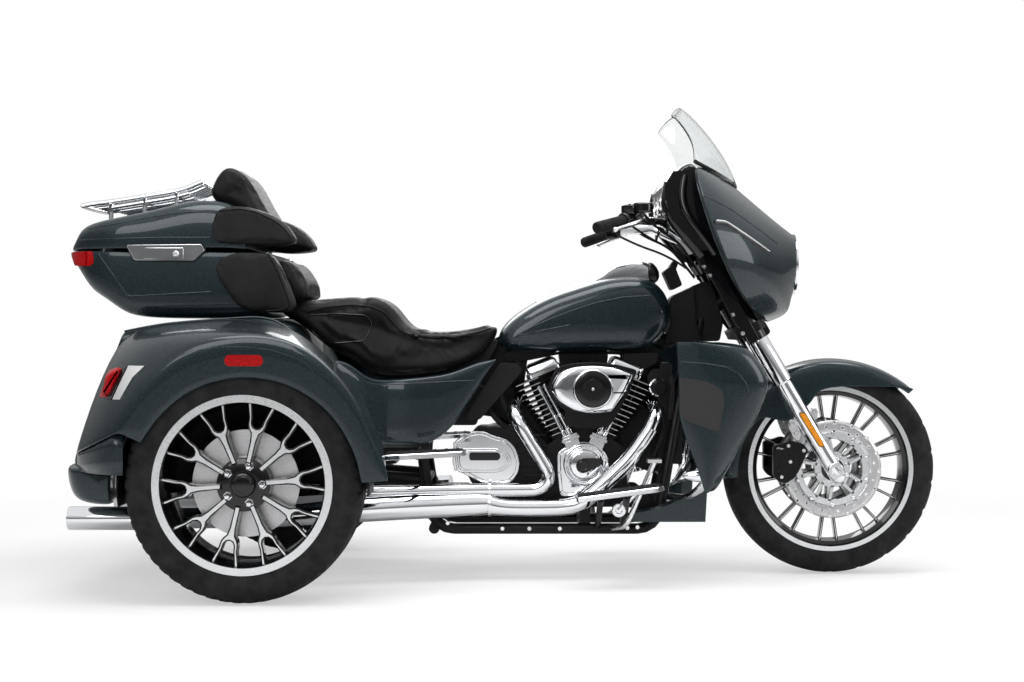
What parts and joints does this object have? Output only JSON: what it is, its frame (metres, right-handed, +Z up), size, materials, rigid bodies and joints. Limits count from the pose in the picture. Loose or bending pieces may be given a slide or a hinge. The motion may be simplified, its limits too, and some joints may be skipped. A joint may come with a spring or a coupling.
{
  "type": "motorized trike",
  "caption": "Full-dress touring motor tricycle with fork-mounted fairing and screen, finned V-twin engine, two-up seat, top case and a wide trunk body over car-type rear wheels.",
  "frame": {"origin": "on the floor under the centre of the bounding box", "axes": "+X forward, +Y to the rider's left, +Z up"},
  "size_m": [2.583, 1.39, 1.4096],
  "materials": {
    "paint": "metallic teal-charcoal lacquer",
    "chrome": "polished",
    "frame_black": "satin black",
    "engine_black": "black with bright fin edges",
    "alloy": "machined cast alloy",
    "disc_steel": "brushed",
    "tyre": "matt black",
    "leather": "black with stitched seams",
    "black_plastic": "grained black",
    "red_lens": "clear red lens",
    "lamp_glass": "clear lens over a bright bowl",
    "clear_screen": "clear"
  },
  "bodies": {
    "chassis": {"frame": "frame_black", "crankcase": "engine_black", "cylinder_front": "engine_black", "cylinder_rear": "engine_black", "rocker_boxes": "chrome", "cam_cover": "chrome", "gearbox": "engine_black", "primary_cover": "chrome", "air_cleaner": "chrome", "exhaust_right": "chrome", "exhaust_left": "chrome", "rear_axle": "frame_black", "fuel_tank": "paint", "tank_console": "chrome", "seat": "leather", "trunk_body": "paint", "fender_right": "paint", "fender_left": "paint", "side_covers": "paint", "rear_bumper": "paint", "tail_lamps": "red_lens", "side_markers": "red_lens", "case_base": "paint", "case_lamps": "red_lens", "side_pads": "leather", "backrest_lower": "leather", "lower_fairings": "paint", "chin_panels": "black_plastic", "oil_cooler": "engine_black", "engine_guards": "chrome", "rider_boards": "black_plastic", "passenger_boards": "black_plastic", "foot_controls": "chrome"},
    "steering": {"fork_legs": "chrome", "fork_yoke": "frame_black", "handlebar": "chrome", "hand_controls": "black_plastic", "front_fender": "paint", "front_calipers": "chrome", "fairing_outer": "paint", "headlamp": "lamp_glass", "fairing_inner": "black_plastic", "windshield": "clear_screen"},
    "front_wheel": {"front_tyre": "tyre", "front_rim": "alloy", "front_discs": "disc_steel"},
    "rear_wheel_right": {"rear_tyre_right": "tyre", "rear_rim_right": "alloy"},
    "rear_wheel_left": {"rear_tyre_left": "tyre", "rear_rim_left": "alloy"},
    "case_lid": {"case_lid": "paint", "luggage_rack": "chrome", "backrest_upper": "leather", "case_latch": "chrome"},
    "trunk_door": {"trunk_door": "paint"}
  },
  "joints": [
    {"name": "steering", "type": "hinge", "parent": "chassis", "child": "steering", "pos_m": [0.65783, 0, 0.85], "axis": [-0.4384, 0, 0.8988], "range_deg": [-30, 30]},
    {"name": "front_wheel_spin", "type": "hinge", "parent": "steering", "child": "front_wheel", "pos_m": [0.9722, 0, 0.3193], "axis": [0, 1, 0], "continuous": true},
    {"name": "rear_wheel_right_spin", "type": "hinge", "parent": "chassis", "child": "rear_wheel_right", "pos_m": [-0.7152, -0.5675, 0.3225], "axis": [0, 1, 0], "continuous": true},
    {"name": "rear_wheel_left_spin", "type": "hinge", "parent": "chassis", "child": "rear_wheel_left", "pos_m": [-0.7152, 0.5675, 0.3225], "axis": [0, 1, 0], "continuous": true},
    {"name": "case_lid_hinge", "type": "hinge", "parent": "chassis", "child": "case_lid", "pos_m": [-0.996, 0.3004, 0.971], "axis": [-1, 0, 0], "range_deg": [0, 80]},
    {"name": "trunk_door_hinge", "type": "hinge", "parent": "chassis", "child": "trunk_door", "pos_m": [-1.2183, 0, 0.3845], "axis": [0, -1, 0], "range_deg": [0, 90]}
  ]
}
